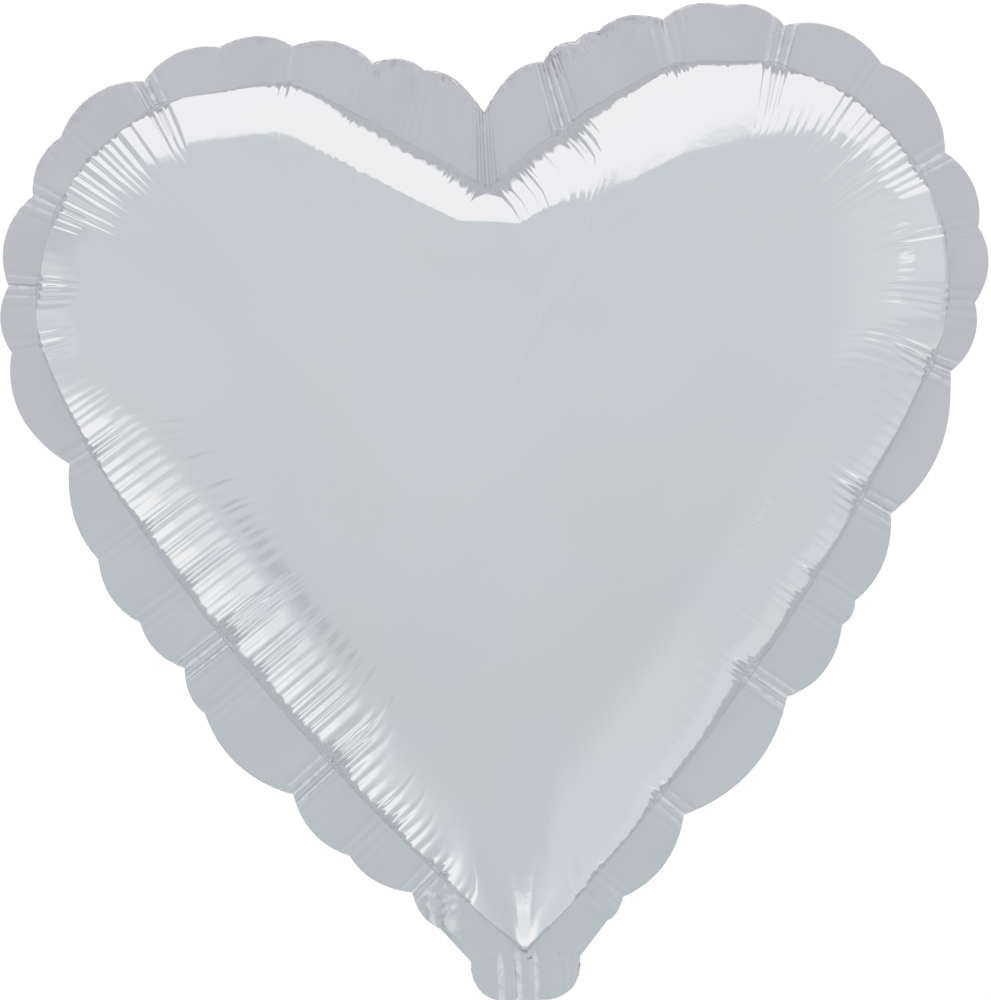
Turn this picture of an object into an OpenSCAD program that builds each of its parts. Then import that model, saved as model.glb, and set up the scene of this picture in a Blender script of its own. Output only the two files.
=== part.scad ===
// Heart-shaped foil balloon, filled.
//
// Two films are welded together along a heart, with a scalloped flange outside the weld.
// Gas pressure domes both films and gathers the weld into tucks, one at each cusp of the flange.
// A short tail below the tip holds the mouth, and a flat two-ply valve hangs inside the heart.
//
// Frame: +Z up, the front faces -Y, +X to the right.
// The origin is the middle of the crease between heart and tail, where the ribbon is tied.

/* [Heart] */
// Width between the two side welds at the widest point
seal_w = 370; // [346:2:430]
// Height from the tip of the weld to the top of the lobes
seal_h = 358; // [320:2:420]
// Radius of the round lobes along the weld
lobe_r = 90; // [76:1:97]
// Depth of the cleft below the top of the lobes
cleft_drop = 48; // [26:1:80]
// Radius of the long side curves that run down to the tip
side_r = 950; // [500:10:1600]
// Depth of the gas space, front to back
depth = 180; // [110:2:230]

/* [Flange] */
// Width of the flange above the cleft
flange_cleft = 30; // [18:1:38]
// Width of the flange in the tucks on top of the lobes
flange_top = 16; // [8:0.5:22]
// Width of the flange in the tucks at the widest point
flange_side = 10.5; // [8:0.5:20]
// Width of the flange in the tucks low down on the sides
flange_low = 19; // [10:0.5:24]
// Width of the flange beside the tail
flange_tail = 15; // [8:0.5:20]
// Height of a scallop as a share of its span
scallop_rise = 0.13; // [0:0.01:0.3]
// How straight the weld is drawn between two tucks: 0 follows the heart and 1 is a straight line
taut = 0.8; // [0:0.1:1]
// Front-to-back ripple of the scallops
ripple = 2; // [0:0.5:5]
// Depth of the tuck that each cusp pulls into the dome
tuck = 4; // [0:0.5:8]
// How far a tuck runs from the weld towards the middle, along the dome
tuck_reach = 60; // [20:5:100]

/* [Tail] */
// Width of the tail at the crease
tail_w = 44; // [38:1:56]
// Length of the tail below the crease
tail_len = 16; // [10:1:60]
// Radius of the lower corners of the tail
tail_corner = 14; // [2:1:18]
// Distance from the crease up to the tip of the weld
neck_len = 3; // [2:0.5:10]
// Clearance beside the crease for the folded tail
fold_clear = 0.35; // [0.3:0.05:1]

/* [Films] */
// Thickness of each panel film
film_t = 0.25; // [0.1:0.05:0.5]
// Thickness of each valve film
valve_t = 0.15; // [0.05:0.05:0.3]
// Thickness of the release strip and of the valve's edge welds
strip_t = 0.1; // [0.05:0.05:0.2]

/* [Valve] */
// Width of the valve
valve_w = 28; // [20:1:34]
// Length of the valve above the tip of the weld
valve_len = 120; // [60:5:200]
// Width of the weld along each edge of the valve
edge_w = 3; // [2:0.5:5]
// How far the release strip runs past the weld into the gas space
strip_over = 8; // [4:1:20]
// Gap between the release strip and the edge welds
strip_gap = 0.5; // [0.3:0.1:2]

/* [Hidden] */
$fn = 48;

// Spans between neighbouring tucks from the cleft down to the tail, one list for each side.
// They are shares of the welded length, in millimetres on a heart of the usual size.
spans_right = [39, 18, 10, 24, 22, 20, 36, 38, 29, 27, 27, 61, 37, 11, 36, 62, 41, 12];
spans_left = [36, 25, 31, 26, 29, 36, 23, 34, 24, 47, 38, 30, 25, 19, 47, 33, 28, 19];
// Width of the flange in each tuck, from the first span's start to the last one's end,
// as a share of the usual width there
drawn_right = [1, 1.1, 1.1, 1.1, 1, 1.3, 1, 1.2, 0.9, 1.1, 0.9, 0.7, 0.9, 1.1, 1.1, 0.9, 0.7, 0.9, 1];
drawn_left = [1, 1.1, 0.8, 0.8, 0.9, 0.7, 1, 0.8, 0.9, 1, 0.8, 1.5, 1.4, 1.1, 1.3, 1.1, 1.2, 0.8, 1];
// Longest stretch of weld between two points of the outline
step = 11;
// Shortest span beside a tuck of the full depth
full_span = 26;
// Rings of the dome, as shares of the way from the middle to the weld
rings = [0.99, 0.96, 0.91, 0.84, 0.74, 0.6, 0.42, 0.22];
// Height of the middle of the dome as a share of the heart's height
middle_share = 0.57;
// Radius of the circle that the rings round off to, as a share of the heart's width
round_share = 0.41;
// Power of the dome's profile: 2 is an ellipse, and more is flatter in the middle
fullness = 2.4;

silver = [0.78, 0.8, 0.82];
weld_grey = [0.68, 0.7, 0.72];
clear_film = [0.86, 0.89, 0.92];
strip_blue = [0.55, 0.66, 0.78];

// The gap between the two panels at the weld is filled by the valve's layers
gap = 2 * valve_t + strip_t;
half_t = gap / 2 + film_t;
crease = half_t + fold_clear;
valve_r = valve_w / 2;
tail_r = tail_w / 2;

// Heart of the weld: a straight crown from the cleft, a round lobe and a long side curve
tip = [0, neck_len];
cleft = [0, neck_len + seal_h - cleft_drop];
lobe = [seal_w / 2 - lobe_r, neck_len + seal_h - lobe_r];
to_lobe = lobe - cleft;
crown_len = sqrt(to_lobe * to_lobe - lobe_r * lobe_r);
crown_angle = atan2(to_lobe.y, to_lobe.x) + asin(lobe_r / norm(to_lobe));
// Centre of the side curve, which touches the lobe from inside and ends at the tip
to_tip = lobe - tip;
reach = norm(to_tip);
along = (side_r * side_r - pow(side_r - lobe_r, 2) + reach * reach) / (2 * reach);
across = sqrt(side_r * side_r - along * along);
side = tip + along * to_tip / reach + across * [-to_tip.y, to_tip.x] / reach;
side_start = atan2(lobe.y - side.y, lobe.x - side.x);
lobe_len = lobe_r * (crown_angle + 90 - side_start) * PI / 180;
// The welded length on one side ends where the side curve is as wide as the tail
notch_z = side.y - sqrt(side_r * side_r - pow(tail_r - side.x, 2));
side_end = atan2(notch_z - side.y, tail_r - side.x);
weld_len = crown_len + lobe_len + side_r * (side_start - side_end) * PI / 180;

middle = [0, neck_len + seal_h * middle_share];
round_r = seal_w * round_share;

// Angle of the outward normal at a distance s along the weld from the cleft
function normal_angle(s) =
    s <= crown_len ? crown_angle + 90 :
    s <= crown_len + lobe_len ? crown_angle + 90 - (s - crown_len) / lobe_r * 180 / PI :
    side_start - (s - crown_len - lobe_len) / side_r * 180 / PI;

// Point of the weld at a distance s from the cleft
function weld_point(s) =
    let(a = normal_angle(s))
    s <= crown_len ? cleft + s * [cos(crown_angle), sin(crown_angle)] :
    s <= crown_len + lobe_len ? lobe + lobe_r * [cos(a), sin(a)] :
    side + side_r * [cos(a), sin(a)];

// Height of the weld at a distance x from the middle, near the tip
function weld_z(x) = side.y - sqrt(side_r * side_r - pow(x - side.x, 2));

// Way out of the heart across the flange: straight up at the cleft, square to the weld elsewhere
function way_out(s) =
    let(a = normal_angle(s))
    let(up = max(0, 1 - s / (2 * crown_len)))
    let(d = up * [0, 1] + (1 - up) * [cos(a), sin(a)])
    d / norm(d);

// Width of the flange in the tucks, at a distance s from the cleft
top_s = crown_len + lobe_r * crown_angle * PI / 180;
side_s = crown_len + lobe_len;
function flange_w(s) = lookup(s, [
    [0, flange_cleft],
    [crown_len, (flange_cleft + flange_top) / 2],
    [top_s, flange_top],
    [side_s, flange_side],
    [(side_s + weld_len) / 2, flange_low],
    [weld_len, flange_tail]
]);

// A station is one point of the outline: [weld point, way out, rim point, ripple, tuck].
// Between two tucks the weld is drawn towards a straight line, and the flange swells out from it.
function scallop(spans, drawn, k, sign) =
    let(total = sum(spans, len(spans)))
    let(s0 = weld_len * sum(spans, k) / total)
    let(span = weld_len * spans[k] / total)
    let(before = weld_len * spans[max(0, k - 1)] / total)
    let(pull = min(1, min(span, before) / full_span))
    let(count = max(2, ceil(span / step)))
    [for (i = [0 : count - 1])
        let(u = i / count)
        let(s = s0 + u * span)
        let(p = weld_point(s))
        let(line = (1 - u) * weld_point(s0) + u * weld_point(s0 + span))
        let(q = p + taut * (line - p))
        let(d = way_out(s))
        let(share = (1 - u) * drawn[k] + u * drawn[k + 1])
        let(w = flange_w(s) * share + scallop_rise * span * 4 * u * (1 - u))
        let(wave = ripple * sin(180 * u) * (k % 2 == 0 ? 1 : -1))
        [[sign * q.x, q.y], [sign * d.x, d.y], [sign * (p.x + w * d.x), p.y + w * d.y],
            wave, pull * (1 + cos(360 * u)) / 2]];

function sum(list, n) = n == 0 ? 0 : list[n - 1] + sum(list, n - 1);

// In the neck the flange ends on the crease, straight below the weld
function neck_station(x) =
    let(z = weld_z(abs(x)))
    [[x, z], [0, -1], [x, crease], 0, 0];

right_half = [for (k = [0 : len(spans_right) - 1]) each scallop(spans_right, drawn_right, k, 1)];
left_half = [for (k = [0 : len(spans_left) - 1]) each scallop(spans_left, drawn_left, k, -1)];
neck = [for (x = [tail_r, valve_r, valve_r / 2, 0, -valve_r / 2, -valve_r, -tail_r]) neck_station(x)];
// Once round the heart, clockwise seen from the front, starting at the cleft
stations = concat(right_half, neck, [for (i = [len(left_half) - 1 : -1 : 1]) left_half[i]]);
count = len(stations);
valve_right = len(right_half) + 1;
valve_left = len(right_half) + 5;

// Point of a dome ring: the weld shrunk towards the middle and rounded off on the way
function ring_point(st, share) =
    let(v = st[0] - middle)
    let(heart = share * share)
    middle + share * (heart * v + (1 - heart) * round_r * v / norm(v));

// Height of the dome, which is flat in the middle and upright at the weld
function dome(share) = depth / 2 * sqrt(1 - pow(share, fullness));

// Depth of a tuck, which fades from the weld towards the middle
function tuck_at(st, share) =
    let(run = norm(st[0] - ring_point(st, share)) + dome(share))
    tuck * st[4] * max(0, 1 - run / tuck_reach);

// One ring of 3-D points on the inner face (out = 0) or the outer face (out = film_t)
function ring(share, out, front) = [for (st = stations)
    let(dip = share < 1 ? tuck_at(st, share) : 0)
    let(p = ring_point(st, share) + (out * share - dip) * st[1])
    [p.x, front * (gap / 2 + out + max(0, dome(share) - dip)), p.y]];

function rim_ring(out, front) = [for (st = stations)
    [st[2].x, front * (gap / 2 + out) + st[3], st[2].y]];

// Triangles between two rings of n points that start at a and b, closed or open
function band(a, b, n, flip, closed = true) = [
    for (i = [0 : n - (closed ? 1 : 2)])
        let(j = (i + 1) % n)
        each flip ? [[a + i, b + i, b + j], [a + i, b + j, a + j]]
                  : [[a + i, b + j, b + i], [a + i, a + j, b + j]]];

function fan(a, centre, n, flip) = [
    for (i = [0 : n - 1])
        let(j = (i + 1) % n)
        flip ? [a + i, centre, a + j] : [a + i, a + j, centre]];

// One panel: flange and dome as a single film; front is -1 for the front and 1 for the back
module panel(front) {
    shares = concat([1], rings);
    skins = [for (out = [film_t, 0])
        concat(rim_ring(out, front), [for (r = shares) each ring(r, out, front)],
            [[middle.x, front * (gap / 2 + out + depth / 2), middle.y]])];
    loops = len(shares);
    skin_size = (loops + 1) * count + 1;
    faces = concat(
        [for (k = [0 : loops - 1]) each band(k * count, (k + 1) * count, count, front > 0)],
        fan(loops * count, skin_size - 1, count, front > 0),
        [for (k = [0 : loops - 1])
            each band(skin_size + k * count, skin_size + (k + 1) * count, count, front < 0)],
        fan(skin_size + loops * count, 2 * skin_size - 1, count, front < 0),
        band(0, skin_size, count, front < 0));
    polyhedron(points = concat(skins[0], skins[1]), faces = faces, convexity = 6);
}

module front_panel() {
    color(silver) panel(-1);
}

module back_panel() {
    color(silver) panel(1);
}

// The weld fills the flange between the panels, all round except where the valve passes
module rim_weld() {
    open = valve_left - valve_right;
    n = count - open + 1;
    order = [for (i = [0 : n - 1]) stations[(valve_left + i) % count]];
    points = concat(
        [for (st = order) [st[2].x, st[3] - gap / 2, st[2].y]],
        [for (st = order) [st[0].x, -gap / 2, st[0].y]],
        [for (st = order) [st[0].x, gap / 2, st[0].y]],
        [for (st = order) [st[2].x, st[3] + gap / 2, st[2].y]]);
    faces = concat(
        band(0, n, n, false, false),
        band(n, 2 * n, n, false, false),
        band(3 * n, 2 * n, n, true, false),
        band(3 * n, 0, n, false, false),
        [[0, n, 2 * n], [0, 2 * n, 3 * n]],
        [[n - 1, 3 * n - 1, 2 * n - 1], [n - 1, 4 * n - 1, 3 * n - 1]]);
    color(weld_grey) polyhedron(points = points, faces = faces, convexity = 6);
}

// A flat film of thickness t, drawn in X and Z, with its front face at y
module film(y, t) {
    translate([0, y + t, 0]) rotate([90, 0, 0]) linear_extrude(t) children();
}

// A strip of the width w from z0 up to z1, centred on x
module strip(x, w, z0, z1) {
    translate([x - w / 2, z0]) square([w, z1 - z0]);
}

valve_top = neck_len + valve_len;
module valve_film(y) {
    color(clear_film) film(y, valve_t) strip(0, valve_w, crease, valve_top);
}

module valve_front_film() {
    valve_film(-gap / 2);
}

module valve_back_film() {
    valve_film(gap / 2 - valve_t);
}

module valve_edge_weld(sign) {
    color(weld_grey) film(-strip_t / 2, strip_t)
        strip(sign * (valve_r - edge_w / 2), edge_w, crease, valve_top);
}

module valve_edge_weld_left() {
    valve_edge_weld(-1);
}

module valve_edge_weld_right() {
    valve_edge_weld(1);
}

// The release strip keeps the films of the valve apart where the rim is welded across it
module release_strip() {
    w = valve_w - 2 * edge_w - 2 * strip_gap;
    color(strip_blue) film(-strip_t / 2, strip_t)
        strip(0, w, crease, weld_z(w / 2) + strip_over);
}

// Outline of the tail: straight at the crease and round at its lower corners
module tail_outline() {
    intersection() {
        strip(0, tail_w, -tail_len, -crease);
        union() {
            strip(0, tail_w, tail_corner - tail_len, 0);
            strip(0, tail_w - 2 * tail_corner, -tail_len, 0);
            for (sign = [-1, 1])
                translate([sign * (tail_r - tail_corner), tail_corner - tail_len]) circle(tail_corner);
        }
    }
}

module tail_front_ply() {
    color(silver) film(-half_t, film_t) tail_outline();
}

module tail_back_ply() {
    color(silver) film(gap / 2, film_t) tail_outline();
}

// The side welds of the tail leave a sleeve as wide as the valve, open at the bottom
module tail_side_weld(sign) {
    side_w = tail_r - valve_r;
    color(weld_grey) film(-gap / 2, gap) intersection() {
        tail_outline();
        strip(sign * (valve_r + side_w / 2), side_w, -tail_len, -crease);
    }
}

module tail_side_weld_left() {
    tail_side_weld(-1);
}

module tail_side_weld_right() {
    tail_side_weld(1);
}

front_panel();
back_panel();
rim_weld();
valve_front_film();
valve_back_film();
valve_edge_weld_left();
valve_edge_weld_right();
release_strip();
tail_front_ply();
tail_back_ply();
tail_side_weld_left();
tail_side_weld_right();
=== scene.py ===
# %% [markdown]
# # A heart-shaped foil balloon
# A foil balloon is two sheets of metallised film, welded together along a heart. Gas pushes the sheets
# apart, and because the film can't stretch, the weld is drawn in and the film beside it gathers into fine
# puckers and a few deep tucks. The flange outside the weld turns into a row of scallops.
# All this follows a rule, so it is computed: first the line of the weld, then a grid over flange and dome,
# and last a Geometry Nodes tree that gathers the film.

# %% Frame
import math
import bmesh
import bpy
import numpy as np
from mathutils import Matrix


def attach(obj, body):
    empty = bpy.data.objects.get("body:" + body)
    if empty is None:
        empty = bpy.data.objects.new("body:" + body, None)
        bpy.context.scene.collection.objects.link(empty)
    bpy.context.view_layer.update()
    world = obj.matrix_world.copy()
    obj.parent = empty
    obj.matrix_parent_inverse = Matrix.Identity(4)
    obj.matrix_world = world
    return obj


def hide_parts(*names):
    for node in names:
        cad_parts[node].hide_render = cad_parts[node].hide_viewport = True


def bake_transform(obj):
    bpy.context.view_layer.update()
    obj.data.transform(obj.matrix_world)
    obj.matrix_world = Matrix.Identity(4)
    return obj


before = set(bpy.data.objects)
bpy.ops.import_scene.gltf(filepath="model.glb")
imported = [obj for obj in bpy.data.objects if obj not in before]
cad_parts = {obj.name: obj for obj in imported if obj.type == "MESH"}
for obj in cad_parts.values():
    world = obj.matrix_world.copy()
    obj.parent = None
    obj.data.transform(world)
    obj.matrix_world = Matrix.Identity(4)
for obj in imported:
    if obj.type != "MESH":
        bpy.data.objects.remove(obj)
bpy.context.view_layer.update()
MM = 0.001


# %% [markdown]
# ## Camera
# A long lens far away shows the balloon with almost no perspective. It is shown leaning a little, so the
# camera is rolled, and the balloon itself stays upright.

# %% Camera
CAMERA_DISTANCE = 3.0
VIEW_HEIGHT = 0.404
CAMERA_ROLL = math.radians(2.8)
SENSOR = 36.0
look_at = np.array([-0.003, 0.0, 0.1866])

camera_data = bpy.data.cameras.new("camera")
camera_data.sensor_fit = "VERTICAL"
camera_data.sensor_height = SENSOR
camera_data.lens = SENSOR * CAMERA_DISTANCE / VIEW_HEIGHT
camera = bpy.data.objects.new("camera", camera_data)
bpy.context.collection.objects.link(camera)
camera.location = look_at + np.array([0.0, -CAMERA_DISTANCE, 0.0])
camera.rotation_euler = (math.pi / 2, CAMERA_ROLL, 0.0)
bpy.context.scene.camera = camera
print("camera lens, mm:", round(camera_data.lens))

# %% [markdown]
# ## The line of the weld
# Half of the weld is a straight crown from the cleft, a round lobe, and a long side curve that ends at the
# tip. One function gives the point at a distance s along it, and the way square to it. The sizes are the
# model's own, in millimetres.

# %% Sizes of the heart
SEAL_W = 370.0
SEAL_H = 358.0
LOBE_R = 90.0
CLEFT_DROP = 48.0
SIDE_R = 950.0
DEPTH = 180.0
NECK_LEN = 3.0
TAIL_W = 44.0
TAIL_LEN = 16.0
TAIL_CORNER = 14.0
FILM_T = 0.25
VALVE_T = 0.15
STRIP_T = 0.1
GAP = 2 * VALVE_T + STRIP_T
HALF_T = GAP / 2 + FILM_T
VALVE_W = 28.0
TAIL_R = TAIL_W / 2
VALVE_R = VALVE_W / 2
print("thickness at the weld, mm:", 2 * HALF_T)


# %% Directions and a soft step
def unit(v):
    return v / np.linalg.norm(v, axis=-1, keepdims=True)


def polar(angle):
    return np.stack([np.cos(angle), np.sin(angle)], -1)


def smooth(x):
    x = np.clip(x, 0.0, 1.0)
    return x * x * (3 - 2 * x)


print("soft step at a quarter:", smooth(0.25))

# %% Crown, lobe and side
tip = np.array([0.0, NECK_LEN])
cleft = np.array([0.0, NECK_LEN + SEAL_H - CLEFT_DROP])
lobe = np.array([SEAL_W / 2 - LOBE_R, NECK_LEN + SEAL_H - LOBE_R])
to_lobe = lobe - cleft
crown_len = math.sqrt(to_lobe @ to_lobe - LOBE_R**2)
crown_angle = math.atan2(to_lobe[1], to_lobe[0]) + math.asin(LOBE_R / np.linalg.norm(to_lobe))
to_tip = lobe - tip
reach = np.linalg.norm(to_tip)
along = (SIDE_R**2 - (SIDE_R - LOBE_R) ** 2 + reach**2) / (2 * reach)
across = math.sqrt(SIDE_R**2 - along**2)
side = tip + (along * to_tip + across * np.array([-to_tip[1], to_tip[0]])) / reach
side_start = math.atan2(lobe[1] - side[1], lobe[0] - side[0])
lobe_len = LOBE_R * (crown_angle + math.pi / 2 - side_start)


def weld_z(x):
    """Height of the weld near the tip, at a distance x from the middle."""
    return side[1] - np.sqrt(SIDE_R**2 - (x - side[0]) ** 2)


side_end = math.atan2(weld_z(TAIL_R) - side[1], TAIL_R - side[0])
weld_len = crown_len + lobe_len + SIDE_R * (side_start - side_end)
print("crown and lobe, mm:", round(crown_len, 1), round(lobe_len, 1))


# %% The weld as a function of distance
def weld_line(s):
    """Points of the right half's weld at distances s from the cleft, and the ways out of it."""
    s = np.asarray(s, float)[:, None]
    on_crown = cleft + s * polar(np.array(crown_angle))
    lobe_angle = crown_angle + math.pi / 2 - (s[:, 0] - crown_len) / LOBE_R
    side_angle = side_start - (s[:, 0] - crown_len - lobe_len) / SIDE_R
    on_lobe = lobe + LOBE_R * polar(lobe_angle)
    on_side = side + SIDE_R * polar(side_angle)
    crown_out = polar(np.array(crown_angle + math.pi / 2))
    where = [s <= crown_len, s <= crown_len + lobe_len]
    point = np.select(where, [on_crown, on_lobe], on_side)
    return point, np.select(where, [crown_out, polar(lobe_angle)], polar(side_angle))


print("welded length of one side, mm:", round(weld_len, 1))

# %% [markdown]
# ## The flange
# The flange is widest above the cleft. At each tuck it is drawn in, and between two tucks it swells out
# as a scallop, higher the longer its span. The spans are irregular, and the two sides differ.

# %% Flange rule
FLANGE_CLEFT = 30.0
FLANGE_TOP = 16.0
FLANGE_SIDE = 10.5
FLANGE_LOW = 19.0
FLANGE_TAIL = 15.0
SCALLOP_RISE = 0.13
TAUT = 0.8
RIPPLE = 2.0
SPANS = {
    1: [39, 18, 10, 24, 22, 20, 36, 38, 29, 27, 27, 61, 37, 11, 36, 62, 41, 12],
    -1: [36, 25, 31, 26, 29, 36, 23, 34, 24, 47, 38, 30, 25, 19, 47, 33, 28, 19],
}
DRAWN = {
    1: [1, 1.1, 1.1, 1.1, 1, 1.3, 1, 1.2, 0.9, 1.1, 0.9, 0.7, 0.9, 1.1, 1.1, 0.9, 0.7, 0.9, 1],
    -1: [1, 1.1, 0.8, 0.8, 0.9, 0.7, 1, 0.8, 0.9, 1, 0.8, 1.5, 1.4, 1.1, 1.3, 1.1, 1.2, 0.8, 1],
}

top_s = crown_len + LOBE_R * crown_angle
side_s = crown_len + lobe_len


def flange_width(s):
    stops = [0, crown_len, top_s, side_s, (side_s + weld_len) / 2, weld_len]
    crown_end = (FLANGE_CLEFT + FLANGE_TOP) / 2
    widths = [FLANGE_CLEFT, crown_end, FLANGE_TOP, FLANGE_SIDE, FLANGE_LOW, FLANGE_TAIL]
    return np.interp(s, stops, widths)


def way_out(s, out):
    """Across the flange: straight up at the cleft, square to the weld elsewhere."""
    up = np.maximum(0.0, 1 - s / (2 * crown_len))[:, None]
    return unit(up * np.array([0.0, 1.0]) + (1 - up) * out)


print("flange at cleft and neck, mm:", flange_width([0, weld_len]))

# %% [markdown]
# ## Stations along the weld
# The grid has one column for each station along the weld. A pucker is a rounded fold between two sharp
# valleys, so each pucker gets the same few stations, one of them in its valley. Some stretches gather and
# others stay smooth, so each span has a share of its own, and each tuck a pull of its own.

# %% Puckers and tucks of each span
rng = np.random.default_rng(18)
PUCKER_PITCH = 4.6
PER_PUCKER = 6
WIDTH_SPREAD = 0.45
DEPTH_SPREAD = (0.6, 1.0)
REACH_SPREAD = (0.75, 1.12)
GATHER = {
    1: [0.8, 0.25, 0.08, 0.06, 0.06, 0.2, 0.7, 0.7, 0.5, 0.5, 0.2, 0.35, 0.3, 0.25, 0.3, 0.35, 0.4, 0.25],
    -1: [0.5, 0.75, 0.3, 0.1, 0.15, 0.95, 0.85, 0.08, 0.04, 0.12, 0.45, 0.5, 0.55, 0.6, 0.75, 0.8, 0.7, 0.5],
}
# how hard the tuck at each end of a span pulls
LEAST_PULL = 0.3
PULL = {
    1: [0.5, 0.9, 0.2, 0.1, 0.6, 0.15, 1, 0.4, 0.9, 0.3, 0.4, 0.9, 0.9, 0.4, 0.3, 1, 0.8, 0.5, 0.3],
    -1: [0.5, 0.15, 0.15, 0.5, 0.15, 1, 0.3, 0.9, 0.8, 0.4, 0.6, 0.4, 0.3, 1, 0.3, 1, 0.4, 0.8, 0.3],
}
print("spans:", len(SPANS[1]), "right,", len(SPANS[-1]), "left")

# %% [markdown]
# ## Traits along the weld
# Other traits change slowly along a side, so a short table of stops gives them. This film is crinkled over
# the crowns, smooth along the flank, and turns in late and sharply over the right crown.

# %% Traits
# distance along the weld; how far in the dome's shoulder lies and how sharply it turns; how far the puckers
# and the folds of a tuck run up the film; how far up the film is held flat; how crinkled the rim is
TRAITS = ("shoulder", "sharp", "reach", "fold_reach", "hold", "ruffle")
CHARACTER = {
    1: [
        (0, 21, 0.1, 150, 100, 0, 0.2), (13, 23, 0.12, 150, 100, 0, 0.7), (30, 28, 0.13, 145, 100, 0, 0.9),
        (45, 37, 0.17, 75, 95, 0, 0.9), (65, 43, 0.23, 52, 60, 0, 0.9), (91, 46, 0.21, 50, 54, 0, 0.8),
        (108, 44, 0.17, 52, 60, 0, 0.5), (126, 39, 0.13, 66, 70, 0, 0.3), (138, 34, 0.11, 84, 66, 0, 0.2),
        (152, 28, 0.09, 76, 50, 0, 0), (170, 21, 0.06, 68, 50, 0, 0), (195, 17, 0.03, 68, 46, 4, 0),
        (210, 19, 0.02, 72, 46, 36, 0), (280, 22, 0, 72, 66, 36, 0), (300, 22, 0, 96, 66, 22, 0),
        (400, 22, 0, 92, 60, 14, 0), (450, 24, 0, 72, 56, 0, 0), (550, 24, 0, 60, 40, 0, 0.2),
    ],
    -1: [
        (0, 19, 0.1, 140, 90, 0, 0.2), (20, 20, 0.1, 140, 90, 0, 0.8), (50, 21, 0.1, 125, 80, 0, 0.8),
        (85, 21, 0.1, 66, 50, 0, 0.6), (140, 21, 0.1, 62, 56, 0, 0.3), (170, 18, 0.06, 70, 56, 0, 0.5),
        (200, 18, 0.05, 70, 54, 0, 0.6), (225, 19, 0.03, 62, 50, 0, 0.1), (290, 21, 0, 70, 48, 0, 0),
        (311, 22, 0, 100, 60, 0, 0), (404, 22, 0, 108, 84, 0, 0), (440, 23, 0, 105, 76, 0, 0),
        (470, 23, 0, 100, 84, 0, 0.35), (490, 24, 0, 84, 60, 0, 0), (550, 24, 0, 80, 50, 0, 0.3),
    ],
}
print("stops of the traits:", len(CHARACTER[1]), "right,", len(CHARACTER[-1]), "left")


# %% Columns of one side
def uneven_puckers(puckers, spread, start=0.0, length=1.0):
    """Stations of so many puckers of uneven width along a stretch, and their phase there."""
    widths = 1 + spread * rng.uniform(-1, 1, puckers)
    edges = start + length * np.concatenate([[0], np.cumsum(widths)]) / widths.sum()
    phase = np.arange(puckers * PER_PUCKER + 1) / PER_PUCKER
    return np.interp(phase, np.arange(puckers + 1), edges), phase


def pucker_columns(spans, starts):
    """Columns of every span: distance, place in it, its length and number, and phase."""
    table = {k: [] for k in ("s", "u", "span", "k", "phase")}
    for k, span in enumerate(spans):
        u, phase = uneven_puckers(max(2, round(span / PUCKER_PITCH)), WIDTH_SPREAD)
        row = (starts[k] + u * span, u, np.full(len(u), span), np.full(len(u), k), phase)
        for values, value in zip(table.values(), row):
            values.append(value[:-1])
    return {k: np.concatenate(v) for k, v in table.items()}


def side_stations(sign):
    """Columns of one side from the cleft to the neck."""
    spans = np.array(SPANS[sign], float)
    spans *= weld_len / spans.sum()
    starts = np.concatenate([[0], np.cumsum(spans)])
    t = pucker_columns(spans, starts)
    point, out = weld_line(t["s"])
    t["out"] = way_out(t["s"], out)
    # the weld is drawn straight between the harder tucks
    corners = starts[np.array(PULL[sign]) >= LEAST_PULL]
    corner_points, _ = weld_line(corners)
    chord = np.stack([np.interp(t["s"], corners, corner_points[:, i]) for i in (0, 1)], 1)
    t["weld"] = point + TAUT * (chord - point)
    t["base"] = t["weld"]
    t["plain"] = point
    t["square"] = -out
    rise = SCALLOP_RISE * t["span"] * 4 * t["u"] * (1 - t["u"])
    drawn = np.interp(t["k"] + t["u"], np.arange(len(spans) + 1), DRAWN[sign])
    t["rim"] = point + (flange_width(t["s"]) * drawn + rise)[:, None] * t["out"]
    t["wave"] = RIPPLE * np.sin(np.pi * t["u"]) * np.where(t["k"] % 2 == 0, 1, -1)
    middles = (starts[1:] + starts[:-1]) / 2
    uneven = rng.uniform(*DEPTH_SPREAD, len(t["s"]) // PER_PUCKER).repeat(PER_PUCKER)
    t["gather"] = np.interp(t["s"], middles, GATHER[sign]) * uneven
    # distance to the nearest tuck, and how hard that pulls
    nearest = np.where(t["u"] < 0.5, t["k"], t["k"] + 1).astype(int)
    t["beside"] = t["s"] - starts[nearest]
    t["pull"] = np.array(PULL[sign])[nearest]
    at, *values = np.array(CHARACTER[sign], float).T
    for trait, value in zip(TRAITS, values):
        t[trait] = np.interp(t["s"], at, value)
    for key in ("weld", "base", "plain", "out", "rim", "square"):
        t[key] = t[key] * np.array([sign, 1.0])
    return t


right = side_stations(1)
left = side_stations(-1)
print("columns:", len(right["s"]), "right,", len(left["s"]), "left")

# %% [markdown]
# ## The neck
# Below the tip the two films run on as a short tail, so the neck needs columns too. The weld has a sharp tip
# there, but a filled dome can't: its rings are rounded, the inner ones more, which leaves a soft keel.

# %% Neck columns
NECK_PUCKERS = 10
NECK_SPREAD = 0.4
TIP_ROUND = (5.0, 12.0)
CREASE = HALF_T + 0.35
# the neck has no tucks and hardly gathers
NECK_TRAITS = {
    "gather": 0.12, "shoulder": 24.0, "sharp": 0.0, "reach": 60.0, "fold_reach": 40.0, "hold": 0.0,
    "ruffle": 0.3, "wave": 0.0, "dip": 0.0, "fold": 0.0, "crease": 0.0,
}


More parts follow.
